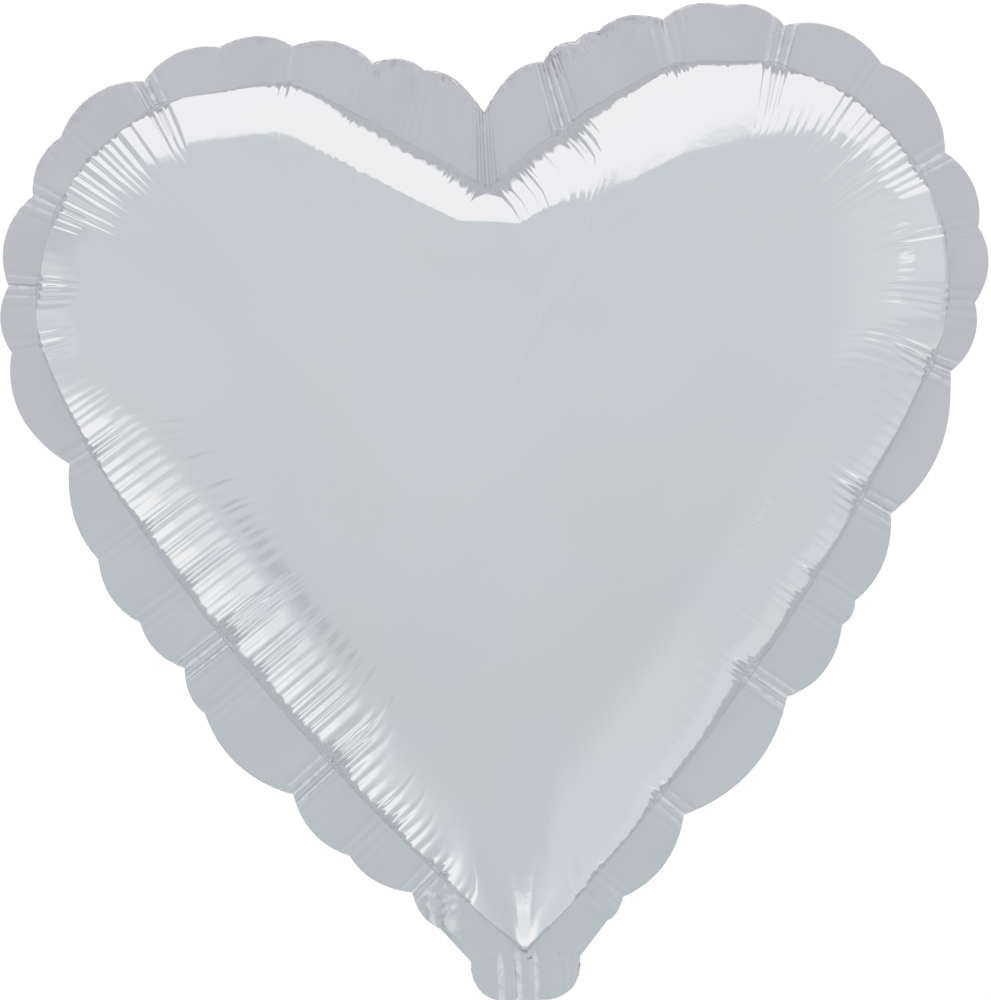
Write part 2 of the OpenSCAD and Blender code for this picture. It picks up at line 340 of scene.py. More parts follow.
def neck_stations():
    x, phase = uneven_puckers(NECK_PUCKERS, NECK_SPREAD, TAIL_R, -TAIL_W)
    n = len(x)
    rounded, rounder = (weld_z(np.hypot(x, r * (1 - (x / TAIL_R) ** 2))) for r in TIP_ROUND)
    slope = np.arctan2(weld_z(np.abs(x)) - side[1], np.abs(x) - side[0])
    table = {
        "weld": np.stack([x, weld_z(np.abs(x))], 1),
        "base": np.stack([x, rounded], 1),
        "plain": np.stack([x, rounder], 1),
        "square": -polar(slope) * np.stack([np.where(x < 0, -1.0, 1.0), np.ones(n)], 1),
        "out": np.tile([0.0, -1.0], (n, 1)),
        "rim": np.stack([x, np.full(n, CREASE)], 1),
        "phase": phase,
    }
    table.update({k: np.full(n, value) for k, value in NECK_TRAITS.items()})
    return table


neck = neck_stations()
neck_first = len(right["s"])
neck_count = len(neck["weld"])
print("columns of the neck:", neck_count)

# %% [markdown]
# ## Tucks
# A tuck draws the rim in and throws a bundle of sharp folds over the film, the deepest in its middle.

# %% Folds beside a tuck, and the whole ring
# distance along the weld, depth and half width of each fold
TUCK_FOLDS = [(0.0, 1.0, 1.4), (-3.9, 0.7, 1.1), (3.6, 0.8, 1.1), (7.4, 0.4, 1.0)]


def ridges(x, folds):
    return sum(h * np.exp(-(((x - at) / w) ** 2)) for at, h, w in folds)


for half in (right, left):
    half["dip"] = half["pull"] * (1 + np.cos(2 * np.pi * half["u"])) / 2
    half["crease"] = half["pull"] * ridges(half["beside"], TUCK_FOLDS)
    half["fold"] = -half["crease"]
ring = {k: np.concatenate([right[k], neck[k], left[k][:0:-1]]) for k in neck}
count = len(ring["weld"])
ring["pucker"] = (np.sin(np.pi * (ring["phase"] % 1)) - 1) * ring["gather"]
pucker_ends = np.arange(count // PER_PUCKER + 1)
reaches = rng.uniform(*REACH_SPREAD, len(pucker_ends))
ring["reach"] *= np.interp(np.arange(count) / PER_PUCKER, pucker_ends, reaches)
print("columns all round:", count)

# %% [markdown]
# ## From rule to grid
# Each column runs from the rim over the flange to the weld, and then over the dome to the middle. On the
# dome the rings are the heart of the weld, shrunk and rounded off on the way in, and the height follows a
# flattened ellipse. A ring's share is 1 at the weld and 0 in the middle. Near the weld the rows are set by
# their distance along the film instead, so two helpers turn one into the other.

# %% Rings of the dome
MIDDLE = np.array([0.0, NECK_LEN + SEAL_H * 0.57])
ROUND_R = SEAL_W * 0.41
FULLNESS = 2.4
SHARES = 1 - np.linspace(0, 1, 600) ** 2
spoke = ring["weld"] - MIDDLE
spoke_len = np.linalg.norm(spoke, axis=1)


def ring_radius(length, share):
    return share * (share**2 * length + (1 - share**2) * ROUND_R)


def dome(share):
    return DEPTH / 2 * np.sqrt(np.maximum(0, 1 - share**FULLNESS))


def film_run(length):
    """Radius and distance along the film, for all of SHARES, on a spoke of this length."""
    radius = ring_radius(length, SHARES)
    step = np.hypot(np.diff(radius), np.diff(dome(SHARES)))
    return radius, np.concatenate([[0], np.cumsum(step)])


def shares_at(lengths, runs):
    """For each column, the shares at which the film has run so far from the weld."""
    return np.array([np.interp(row, film_run(length)[1], SHARES) for length, row in zip(lengths, runs)])


def runs_at(lengths, shares):
    """The other way round: how far the film has run at those shares."""
    return np.array([np.interp(-row, -SHARES, film_run(length)[1]) for length, row in zip(lengths, shares)])


print("longest way to the middle, mm:", round(spoke_len.max()))

# %% [markdown]
# ## Height over a place
# The columns bend, so the height is taken from the place: the ring through it is found by halving the
# range. The corners of the weld show in the outer rings only.

# %% Height from a place
CORNERS_FROM = 0.86
HALVINGS = 30


def length_at(angle, line):
    """Distance from the middle to a line round it, seen at an angle."""
    away = line - MIDDLE
    line_angle = np.arctan2(away[:, 1], away[:, 0])
    return np.interp(angle, line_angle, np.linalg.norm(away, axis=1), period=2 * math.pi)


def share_at(points):
    """The share of the ring through a point of the plan."""
    away = points - MIDDLE
    angle = np.arctan2(away[:, 1], away[:, 0])
    drawn = length_at(angle, ring["base"])
    plain = length_at(angle, ring["plain"])
    distance = np.linalg.norm(away, axis=1)
    low_share, high_share = np.zeros(len(points)), np.ones(len(points))
    for _ in range(HALVINGS):
        middle = (low_share + high_share) / 2
        length = plain + (drawn - plain) * smooth((middle - CORNERS_FROM) / (1 - CORNERS_FROM))
        beyond = ring_radius(length, middle) > distance
        high_share = np.where(beyond, middle, high_share)
        low_share = np.where(beyond, low_share, middle)
    return (low_share + high_share) / 2


print("dome above the tip, mm:", dome(share_at(np.array([[0.0, 33.0]]))).round(1))

# %% [markdown]
# ## Columns that bend
# Film gathers square to its weld. So a column leaves the weld square to it and turns to the middle further
# in. Near the tip it turns sooner, or it would cross the middle line.

# %% Bend of the columns
BEND_REACH = 105.0
MOST_OF_SPOKE = 0.72
STRAIGHT = 0.22
NEAR_TIP = 60.0
ROOM_TO_MIDDLE = 0.9
to_middle_line = np.abs(ring["weld"][:, 0]) / np.maximum(0.05, np.abs(ring["square"][:, 0]))
near_tip = smooth((MIDDLE[1] - ring["weld"][:, 1]) / NEAR_TIP)
furthest = np.minimum(BEND_REACH, MOST_OF_SPOKE * spoke_len)
bend_reach = furthest + near_tip * (np.clip(ROOM_TO_MIDDLE * to_middle_line, 1.0, furthest) - furthest)


def bend(spread, pick):
    """Turn the way from the weld to a ring's point, so that it starts square to the weld."""
    square = ring["square"][pick]
    sideways = np.stack([-square[:, 1], square[:, 0]], 1)
    inwards = np.sum(spread * square, 1)
    aside = np.sum(spread * sideways, 1)
    turned = smooth((np.linalg.norm(spread, axis=1) / bend_reach[pick] - STRAIGHT) / (1 - STRAIGHT))
    return inwards[:, None] * square + (turned * aside)[:, None] * sideways


print("longest bend of a column, mm:", round(bend_reach.max()))

# %% [markdown]
# ## Foot and shoulder
# Beside the weld the filled film stands nearly upright, and then it turns in over the dome at its shoulder.
# The rows go up the foot in millimetres, on to the shoulder as shares of the way there, and past it as parts
# of the shoulder's own share. All puckers end on these rows, and further in every sixth column is enough.

# %% Foot, shoulder and the rows near them
FOOT = 22.0
FOOT_FADE = 60.0
UPRIGHT = 0.8
SHOULDER_FADE = 60.0
UP_FOOT = np.array([0.5, 1.2, 2.2, 3.6, 5.6, 8.5, 12, 17, FOOT])
TO_SHOULDER = np.array([0.14, 0.3, 0.48, 0.66, 0.84, 1.0])
PAST_SHOULDER = np.array([0.98, 0.92, 0.83, 0.71, 0.57])


def shoulder_runs():
    """How far along the film each column meets the shoulder."""
    slant = -np.sum(spoke * ring["square"], 1) / spoke_len
    meets = []
    for length, inwards in zip(spoke_len, ring["shoulder"] / slant):
        radius, run = film_run(length)
        meets.append(np.interp(length - inwards, radius[::-1], run[::-1]))
    return np.array(meets)


def shoulder(run, turn_in, sharp):
    """Height that the shoulder adds: it grows up to the turn and then dies out slowly."""
    share = run / turn_in
    rise = np.where(share < 1, share**4, np.maximum(0, 1 - (run - turn_in) / SHOULDER_FADE) ** 2)
    return sharp * turn_in / 4 * rise


turn_in = shoulder_runs()[:, None]
fine_runs = np.hstack([np.tile(UP_FOOT, (count, 1)), FOOT + (turn_in - FOOT) * TO_SHOULDER])
fine_shares = shares_at(spoke_len, fine_runs)
inner_shares = fine_shares[:, -1:] * PAST_SHOULDER
fine_shares = np.hstack([fine_shares, inner_shares])
fine_runs = np.hstack([fine_runs, runs_at(spoke_len, inner_shares)])
# puckers and folds get shorter towards the tip
for key in ("reach", "fold_reach"):
    ring[key] = np.minimum(FOOT + (ring[key] - FOOT) * bend_reach / furthest, fine_runs[:, -1])
foot_share = fine_shares[:, len(UP_FOOT) - 1]
foot_spread = bend((ring_radius(spoke_len, foot_share) / spoke_len - 1)[:, None] * spoke, slice(None))
print("fine rows of the dome:", fine_runs.shape[1])

# %% [markdown]
# ## Folds of the neck
# The tail and the scallop beside it are folded lengthwise. Every layer shares these folds, so they are a
# sway to front or back that depends only on the place. The metal coat is crazed along them.

# %% Lengthwise folds
# x, height and half width of each fold
NECK_FOLDS = [(-10.3, 1.3, 1.6), (-3.2, 1.3, 1.6), (0.9, -1.4, 1.2), (4.0, 1.0, 1.5), (17.0, 1.1, 1.6)]
SCALLOP_FOLDS = [(-37.0, 1.3, 1.4), (-34.0, -0.8, 1.1), (-31.0, 1.4, 1.5), (-27.0, 0.9, 1.4)]
NECK_TOP = 9.0
SCALLOP_TOP = 36.0
SCALLOP_FOOT = 8.0
WAVE = 0.3
WAVE_LEN = 13.0
CRAZED_HEIGHT = 1.1


def folded(x, z, waves=0.0):
    """Both sets of folds, each faded out round its patch, with waves added in the neck."""
    inside = smooth(1.25 - np.abs(x) / TAIL_R) * smooth((NECK_TOP - z) / 10)
    beside = smooth((SCALLOP_TOP - z) / 12) * smooth((z - SCALLOP_FOOT) / 8)
    return inside * (waves + ridges(x, NECK_FOLDS)) + beside * ridges(x, SCALLOP_FOLDS)


def neck_sway(x, z):
    """The shift to front or back that every layer of tail and neck shares."""
    return folded(x, z, WAVE * np.cos(2 * np.pi * x / WAVE_LEN + 0.9))


def neck_wear(x, z):
    """How far the coat is crazed along those folds, from 0 to 1."""
    return np.clip(folded(x, z) / CRAZED_HEIGHT, 0, 1)


print("folds:", len(NECK_FOLDS), "in the neck,", len(SCALLOP_FOLDS), "in the scallop")

# %% Rows of one film
FLANGE_ROWS = [1.0, 0.96, 0.9, 0.82, 0.7, 0.52, 0.3, 0.1, 0.02, 0.0]
COARSE_ROWS = 13
TUCK = 2.4
TUCK_ONSET = 14.0
TUCK_REACH = 60.0


def flange_row(f):
    """A row at a share of the flange's width: plan, ripple, run (negative here) and ruffle."""
    outwards = ring["rim"] - ring["weld"]
    run = -f * np.linalg.norm(outwards, axis=1)
    return ring["weld"] + f * outwards, ring["wave"] * f**1.5, run, ring["ruffle"] * smooth((f - 0.5) / 0.5)


def dome_row(share, pick, run):
    """A row of the dome, with the lift that the front's sharper shoulder adds."""
    length = spoke_len[pick]
    spread = bend(spoke[pick] * (ring_radius(length, share) / length - 1)[:, None], pick)
    path = np.linalg.norm(spread, axis=1) + dome(share)
    dip = TUCK * ring["dip"][pick] * np.maximum(0, 1 - path / TUCK_REACH) * smooth(run / TUCK_ONSET)
    height = HALF_T + np.maximum(0, dome(share_at(ring["weld"][pick] + spread)) - dip)
    # the foot is drawn back to the weld, which leaves it nearly upright
    fades = np.clip(1 - (run - FOOT) / FOOT_FADE, 0, 1)[:, None] ** 1.5
    back = np.where((run < FOOT)[:, None], spread, fades * foot_spread[pick])
    plan = ring["weld"][pick] + spread - UPRIGHT * back
    plan += (FILM_T * share - dip)[:, None] * ring["out"][pick]
    lift = shoulder(run, turn_in[pick, 0], ring["sharp"][pick])
    return {"plan": plan, "height": height, "lift": lift, "run": run}


def rows_of_film():
    rows = []
    for f in FLANGE_ROWS:
        plan, wave, run, ruffle = flange_row(f)
        worn = np.clip(ring["crease"], 0, 1) + neck_wear(*plan.T)
        row = {"plan": plan, "height": HALF_T, "wave": wave, "run": run, "ruffle": ruffle, "worn": worn}
        rows.append(row)
    for share, run in zip(fine_shares.T, fine_runs.T):
        rows.append(dome_row(share, slice(None), run))
    every = slice(None, None, PER_PUCKER)
    last = fine_shares[every, -1]
    for f in np.linspace(1, 0, COARSE_ROWS + 1)[1:-1]:
        run = runs_at(spoke_len[every], (last * f)[:, None])[:, 0]
        rows.append(dome_row(last * f, every, run))
    return rows


film_rows = rows_of_film()
print("rows of a film:", len(film_rows))

# %% [markdown]
# ## One sheet
# The back film is the front one mirrored, but it turns in more softly. The sheet is one mesh from the
# dome's middle to the mouth of the tail, because the real film isn't cut at the crease. Each vertex carries
# the numbers that the gathering tree needs.

# %% Mesh helpers
COLUMN_NUMBERS = ("pucker", "reach", "hold", "fold", "fold_reach", "crease")
VERTEX_NUMBERS = ("run", "ruffle", "worn") + COLUMN_NUMBERS


def add_row(sheet, x, y, z, **given):
    """Put a row of vertices on a sheet; numbers that aren't given are zero."""
    sheet["place"].append(np.stack(np.broadcast_arrays(x, y, z), 1))
    for k in VERTEX_NUMBERS:
        sheet[k].append(np.broadcast_to(given.get(k, 0.0), len(sheet["place"][-1])))


def strip(a, b):
    """Quads between two rows of as many vertices."""
    return np.stack([a[:-1], a[1:], b[1:], b[:-1]], 1).tolist()


def fan(fine, coarse):
    """Triangles between a closed row and one that has only every sixth column."""
    fine, coarse = fine.tolist(), coarse.tolist()
    half = PER_PUCKER // 2
    faces = []
    for c, (here, after) in enumerate(zip(coarse, coarse[1:])):
        f = fine[c * PER_PUCKER : (c + 1) * PER_PUCKER + 1]
        faces += [[f[k], f[k + 1], here] for k in range(half)]
        faces += [[f[half], after, here]]
        faces += [[f[k], f[k + 1], after] for k in range(half, PER_PUCKER)]
    return faces


def add_mesh(name, places, faces):
    """A new object with this mesh; places are in millimetres."""
    mesh = bpy.data.meshes.new(name)
    mesh.from_pydata((np.concatenate(places) * MM).tolist(), [], faces)
    obj = bpy.data.objects.new(name, mesh)
    bpy.context.collection.objects.link(obj)
    return obj


def add_sheet(name, sheet, faces):
    obj = add_mesh(name, sheet["place"], faces)
    for k in VERTEX_NUMBERS:
        values = np.concatenate(sheet[k]).astype(np.float32)
        obj.data.attributes.new(k, "FLOAT", "POINT").data.foreach_set("value", values)
    return obj


def face_outwards(mesh):
    shell = bmesh.new()
    shell.from_mesh(mesh)
    bmesh.ops.recalc_face_normals(shell, faces=shell.faces)
    shell.to_mesh(mesh)
    shell.free()


print("numbers on each vertex:", len(VERTEX_NUMBERS))

# %% Sheet mesh
TAIL_ROWS = [0.4, 0.0, -0.4, -CREASE]
TAIL_STEPS = [0.08, 0.2, 0.34, 0.48, 0.62, 0.76, 0.88, 0.96, 1.0]
TAIL_RUN = 5.0
MIDDLE_RUN = 200.0
MOUTH_RUFFLE = 0.25
BACK_LIFT = 0.2


def tail_end(x):
    """Height of the tail's lower edge, which is round at both corners."""
    over = np.maximum(0, np.abs(x) - (TAIL_R - TAIL_CORNER))
    return -TAIL_LEN + TAIL_CORNER - np.sqrt(np.maximum(0, TAIL_CORNER**2 - over**2))


def add_tail(sheet, side, faces, first):
    """Hang the tail on the columns of the neck; first is the number of its first vertex."""
    x = neck["weld"][:, 0]
    above = neck_first + np.arange(neck_count)
    down = TAIL_ROWS + [-CREASE + t * (tail_end(x) + CREASE) for t in TAIL_STEPS]
    for i, z in enumerate(down):
        here = first + i * neck_count + np.arange(neck_count)
        ruffle = MOUTH_RUFFLE if i == len(down) - 1 else 0.0
        y = side * HALF_T + neck_sway(x, z)
        add_row(sheet, x, y, z, run=z - TAIL_RUN, ruffle=ruffle, worn=neck_wear(x, z))
        faces += np.stack([above[1:], above[:-1], here[:-1], here[1:]], 1).tolist()
        above = here


def sheet_mesh(name, side):
    """One film as an open sheet on its outer face; side is -1 for the front and 1 for the back."""
    sheet = {k: [] for k in ("place",) + VERTEX_NUMBERS}
    loops, total = [], 0
    for row in film_rows:
        x, z = row["plan"].T
        lift = row.get("lift", 0.0) * (1.0 if side < 0 else BACK_LIFT)
        y = side * (row["height"] + lift) + row.get("wave", 0.0) + neck_sway(x, z)
        numbers = {k: ring[k][:: count // len(x)] for k in COLUMN_NUMBERS}
        numbers.update({k: row[k] for k in ("run", "ruffle", "worn") if k in row})
        add_row(sheet, x, y, z, **numbers)
        loops.append(total + np.arange(len(x) + 1) % len(x))
        total += len(x)
    add_row(sheet, MIDDLE[:1], side * (HALF_T + DEPTH / 2), MIDDLE[1], run=MIDDLE_RUN)
    faces = []
    for a, b in zip(loops, loops[1:]):
        faces += strip(a, b) if len(a) == len(b) else fan(a, b)
    last = loops[-1].tolist()
    faces += [[a, b, total] for a, b in zip(last, last[1:])]
    add_tail(sheet, side, faces, total + 1)
    if side < 0:
        faces = [f[::-1] for f in faces]
    return add_sheet(name, sheet, faces)


front_skin = sheet_mesh("front_skin", -1)
back_skin = sheet_mesh("back_skin", 1)
print("vertices of a sheet:", len(front_skin.data.vertices))

# %% [markdown]
# ## The gathering tree
# Geometry Nodes turn the smooth sheet into gathered film. Each vertex moves in along its normal by its share
# in the puckers and in the tuck folds. Both start just inside the weld, where the film is held flat, and die
# out further in. A slow noise dents the film a little. On the flange all layers move together to the front
# or back, by a shift that depends only on the place.

# %% Node helpers
def give(tree, node, inputs):
    """Set inputs of a node, by name or number, to values or to what other nodes put out."""
    for key, value in dict(inputs).items():
        if isinstance(value, bpy.types.NodeSocket):
            tree.links.new(value, node.inputs[key])
        else:
            node.inputs[key].default_value = value


def add_node(tree, kind, inputs=(), **settings):
    """Outputs of a new node with these inputs and settings."""
    node = tree.nodes.new(kind)
    for key, value in settings.items():
        setattr(node, key, value)
    give(tree, node, inputs)
    return node.outputs


def maths(tree, operation, *values):
    return add_node(tree, "ShaderNodeMath", enumerate(values), operation=operation)[0]


def product(tree, first, *others):
    for other in others:
        first = maths(tree, "MULTIPLY", first, other)
    return first


def ramp(tree, value, low_end, high_end, to_low=0.0, to_high=1.0):
    """A soft step from to_low at low_end to to_high at high_end."""
    values = enumerate((value, low_end, high_end, to_low, to_high))
    return add_node(tree, "ShaderNodeMapRange", values, interpolation_type="SMOOTHSTEP")[0]


def noise(tree, vector, scale, detail, w=0.0):
    """Noise about one half; another w is another pattern."""
    inputs = {"Vector": vector, "Scale": scale, "Detail": detail, "W": w}
    return add_node(tree, "ShaderNodeTexNoise", inputs, noise_dimensions="4D")[0]


print("helpers: give, add_node, maths, product, ramp, noise")

# %% Tree that gathers a film
# named inputs and their usual values; heights in metres, scales in cells per metre
GATHER_INPUTS = [
    ("Pucker depth", 0.0012), ("Fold depth", 0.002), ("Crease height", 0.0024), ("Dent height", 0.0008),
    ("Dent scale", 24.0), ("Crinkle height", 0.0008), ("Crinkle scale", 60.0), ("Ruffle height", 0.011),
    ("Ruffle scale", 230.0), ("Seed", 3.0),
]


def attribute(tree, name):
    return add_node(tree, "GeometryNodeInputNamedAttribute", {"Name": name}, data_type="FLOAT")["Attribute"]


def push_inwards(tree, given, run, place):
    """How far a vertex moves along its normal: puckers, folds and dents. Runs are in millimetres."""
    hold = attribute(tree, "hold")
    held = ramp(tree, run, hold, maths(tree, "MULTIPLY_ADD", hold, 1.3, 3.0))
    fades = ramp(tree, maths(tree, "DIVIDE", run, attribute(tree, "reach")), 0.45, 1.0, 1.0, 0.0)
    puckers = product(tree, attribute(tree, "pucker"), fades, held, given["Pucker depth"])
    fades = ramp(tree, maths(tree, "DIVIDE", run, attribute(tree, "fold_reach")), 0.6, 1.0, 1.0, 0.0)
    folds = product(tree, attribute(tree, "fold"), fades, given["Fold depth"], ramp(tree, run, 0.0, 3.0))
    dents = maths(tree, "SUBTRACT", noise(tree, place, given["Dent scale"], 1.0, given["Seed"]), 0.5)
    near = product(tree, ramp(tree, run, 2.0, 25.0), ramp(tree, run, 60.0, 125.0, 1.0, 0.12))
    dents = product(tree, dents, given["Dent height"], near)
    return maths(tree, "ADD", maths(tree, "ADD", puckers, folds), dents)


def shift_flange(tree, given, run, flat):
    """How far every layer of the flange moves to the back: crinkles, tuck creases and ruffles."""
    crinkles = maths(tree, "SUBTRACT", noise(tree, flat, given["Crinkle scale"], 3.0), 0.5)
    crinkles = product(tree, crinkles, given["Crinkle height"], ramp(tree, run, -14.0, -2.0, 1.0, 0.0))
    creases = product(tree, attribute(tree, "crease"), given["Crease height"])
    creases = product(tree, creases, ramp(tree, run, -3.0, 8.0, 1.0, 0.0))
    ruffles = maths(tree, "SUBTRACT", noise(tree, flat, given["Ruffle scale"], 2.0), 0.5)
    ruffles = product(tree, ruffles, given["Ruffle height"], attribute(tree, "ruffle"))
    return maths(tree, "ADD", maths(tree, "ADD", crinkles, creases), ruffles)


def gather_tree():
    tree = bpy.data.node_groups.new("gather film", "GeometryNodeTree")
    face = tree.interface
    face.new_socket("Film", in_out="INPUT", socket_type="NodeSocketGeometry")
    for name, value in GATHER_INPUTS:
        face.new_socket(name, in_out="INPUT", socket_type="NodeSocketFloat").default_value = value
    face.new_socket("Finish", in_out="INPUT", socket_type="NodeSocketMaterial")
    face.new_socket("Film", in_out="OUTPUT", socket_type="NodeSocketGeometry")
    given = add_node(tree, "NodeGroupInput")
    run = attribute(tree, "run")
    place = add_node(tree, "GeometryNodeInputPosition")[0]
    x, _, z = add_node(tree, "ShaderNodeSeparateXYZ", {0: place})
    flat = add_node(tree, "ShaderNodeCombineXYZ", {"X": x, "Z": z})[0]
    inwards = push_inwards(tree, given, run, place)
    normal = add_node(tree, "GeometryNodeInputNormal")[0]
    pushed = add_node(tree, "ShaderNodeVectorMath", {0: normal, "Scale": inwards}, operation="SCALE")[0]
    sway = add_node(tree, "ShaderNodeCombineXYZ", {"Y": shift_flange(tree, given, run, flat)})[0]
    both = add_node(tree, "ShaderNodeVectorMath", {0: pushed, 1: sway}, operation="ADD")[0]
    moved = add_node(tree, "GeometryNodeSetPosition", {"Geometry": given["Film"], "Offset": both})[0]
    real = add_node(tree, "GeometryNodeRealizeInstances", {0: moved})[0]
    done = add_node(tree, "GeometryNodeSetMaterial", {"Geometry": real, "Material": given["Finish"]})[0]
    add_node(tree, "NodeGroupOutput", {0: done})
    return tree


gather = gather_tree()
print("nodes in the gathering tree:", len(gather.nodes))


# %% Baking a tree into a plain mesh
def bake_tree(obj, tree, finish, **sizes):
    """Run the tree on obj with these inputs and keep the result as its own mesh."""
    modifier = obj.modifiers.new("gather", "NODES")
    modifier.node_group = tree
    for socket in tree.interface.items_tree:
        if socket.in_out == "INPUT" and socket.socket_type != "NodeSocketGeometry":
            key = socket.name.lower().replace(" ", "_")
            value = finish if key == "finish" else sizes.get(key, socket.default_value)
            modifier[socket.identifier] = value
    depsgraph = bpy.context.evaluated_depsgraph_get()
    baked = bpy.data.meshes.new_from_object(obj.evaluated_get(depsgraph))
    obj.modifiers.remove(modifier)
    old = obj.data
    obj.data = baked
    bpy.data.meshes.remove(old)
    baked.name = obj.name
    baked.shade_smooth()
    return obj


print("helper: bake_tree")


# %% [markdown]
# ## The finish of the foil
# The film is clear nylon with a vacuum-deposited metal coat: a pale silver mirror, slightly milky because
# the nylon scatters a little. The welded flange has been pressed between hot jaws, so it is duller and
# darker, with a lilac cast above. Along sharp creases the coat is crazed and paler. All colours drift.

# %% Material helpers
def colour_mix(tree, share, a, b):
    return add_node(tree, "ShaderNodeMix", {"Factor": share, "A": a, "B": b}, data_type="RGBA")["Result"]


def new_material(name):
    material = bpy.data.materials.new(name)
    material.use_nodes = True
    tree = material.node_tree
    return material, tree, tree.nodes["Principled BSDF"]


def object_place(tree):
    return add_node(tree, "ShaderNodeTexCoord")["Object"]


def grain(tree, height, strength, distance):
    """Fine relief in the gloss; distance is in metres."""
    inputs = {"Height": height, "Strength": strength, "Distance": distance}
    return add_node(tree, "ShaderNodeBump", inputs)["Normal"]


print("helpers: colour_mix, new_material, object_place, grain")

# %% Foil material
FOIL = (0.858, 0.86, 0.87, 1.0)
FOIL_LILAC = (0.858, 0.857, 0.88, 1.0)
FLANGE = (0.74, 0.764, 0.777, 1.0)
FLANGE_LILAC = (0.765, 0.742, 0.768, 1.0)
CRAZED = (0.985, 0.985, 0.99, 1.0)
LILAC_HEIGHTS = (0.26, 0.36)
WELDED_RUNS = (-0.4, 1.2)
ROUGHNESS = (0.09, 0.15)
ROUGHER_WELD = 0.1


def vertex_number(tree, name):
    return add_node(tree, "ShaderNodeAttribute", attribute_name=name)["Fac"]


def foil_colour(tree, place, welded):
    drift = ramp(tree, noise(tree, place, 14.0, 2.0), 0.42, 0.6)
    dome_colour = colour_mix(tree, drift, FOIL, FOIL_LILAC)
    waves = product(tree, noise(tree, place, 9.0, 2.0, 5.0), 0.24)
    height = add_node(tree, "ShaderNodeSeparateXYZ", {0: place})["Z"]
    lilac = ramp(tree, maths(tree, "ADD", height, waves), *LILAC_HEIGHTS)
    flange_colour = colour_mix(tree, lilac, FLANGE, FLANGE_LILAC)
    colour = colour_mix(tree, welded, dome_colour, flange_colour)
    broken = ramp(tree, noise(tree, place, 260.0, 2.0, 9.0), 0.3, 0.62, 0.15, 0.95)
    crazed = product(tree, ramp(tree, vertex_number(tree, "worn"), 0.3, 0.85), broken)
    return colour_mix(tree, crazed, colour, CRAZED)


def foil_material():
    material, tree, shader = new_material("silver foil")
    place = object_place(tree)
    welded = ramp(tree, vertex_number(tree, "run"), *WELDED_RUNS, 1.0, 0.0)
    smear = ramp(tree, noise(tree, place, 60.0, 3.0), 0.3, 0.7, *ROUGHNESS)
    rough = maths(tree, "ADD", smear, product(tree, welded, ROUGHER_WELD))
    fine = product(tree, noise(tree, place, 900.0, 2.0), 0.12)
    relief = maths(tree, "ADD", noise(tree, place, 160.0, 3.0), fine)
    give(tree, shader, {
        "Base Color": foil_colour(tree, place, welded), "Metallic": 1.0, "Roughness": rough,
        "Normal": grain(tree, relief, 0.25, 0.0004),
    })
    return material


foil = foil_material()
print("foil nodes:", len(foil.node_tree.nodes))

# %% [markdown]
# ## Front and back
# Both films go through the same tree, with other seeds and depths, as no two films gather alike. Solidify
# then gives them their thickness to the inside, and closes the rim.

# %% Gathered films
bake_tree(front_skin, gather, foil, seed=3.0)
bake_tree(back_skin, gather, foil, seed=8.0, pucker_depth=0.0009)
for skin in (front_skin, back_skin):
    wall = skin.modifiers.new("film thickness", "SOLIDIFY")
    wall.thickness = FILM_T * MM
    wall.offset = -1
    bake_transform(skin)
    print(skin.name, "faces of the outer side:", len(skin.data.polygons))
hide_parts("front_panel", "tail_front_ply")
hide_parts("back_panel", "tail_back_ply")

# %% [markdown]
# ## The weld
# Where the two films are welded, their seal layers have run together. This band fills the flange from rim
# to weld line, and stops at both edges of the valve. It goes through the same tree as the films.

# %% Weld band
def weld_band():
    x = neck["weld"][:, 0]
    first = neck_first + int(np.argmin(np.abs(x + VALVE_R)))
    last = neck_first + int(np.argmin(np.abs(x - VALVE_R)))
    order = (first + np.arange((last - first) % count + 1)) % count
    n = len(order)
    sheet = {k: [] for k in ("place",) + VERTEX_NUMBERS}
    for side in (-1, 1):
        for f in FLANGE_ROWS[:: -side]:
            plan, wave, run, ruffle = (values[order] for values in flange_row(f))
            y = side * GAP / 2 + wave + neck_sway(*plan.T)
            add_row(sheet, plan[:, 0], y, plan[:, 1], run=run, ruffle=ruffle, crease=ring["crease"][order])
    loops = len(sheet["place"])
    rows = np.arange(loops * n).reshape(loops, n)
    faces = []
    for a in range(loops):
        faces += strip(rows[a], rows[(a + 1) % loops])
    for end in (0, n - 1):
        for a in range(loops // 2 - 1):
            quad = rows[[a, a + 1, loops - 2 - a, loops - 1 - a], end].tolist()
            faces.append(quad if end == 0 else quad[::-1])
    obj = add_sheet("weld_band", sheet, faces)
    face_outwards(obj.data)
    return obj


def plain_film(name, colour, rough, fineness, metal=0.0, clear=0.0):
    """A thin plastic layer with a drift of colour and a fine grain."""
    material, tree, shader = new_material(name)
    place = object_place(tree)
    drift = ramp(tree, noise(tree, place, 80.0, 2.0), 0.35, 0.65)
    darker = tuple(0.93 * c for c in colour[:3]) + (1.0,)
    fine = noise(tree, place, fineness, 3.0)
    give(tree, shader, {
        "Base Color": colour_mix(tree, drift, colour, darker), "Normal": grain(tree, fine, 0.15, 0.0002),
        "Roughness": ramp(tree, fine, 0.3, 0.7, rough - 0.05, rough + 0.05),
        "Metallic": metal, "Transmission Weight": clear,
    })
    return material


weld_finish = plain_film("sealed weld", (0.66, 0.68, 0.71, 1.0), 0.35, 700.0, metal=0.6)
band = bake_tree(weld_band(), gather, weld_finish)
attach(band, "heart")
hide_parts("rim_weld")
print("faces of the weld band:", len(band.data.polygons))

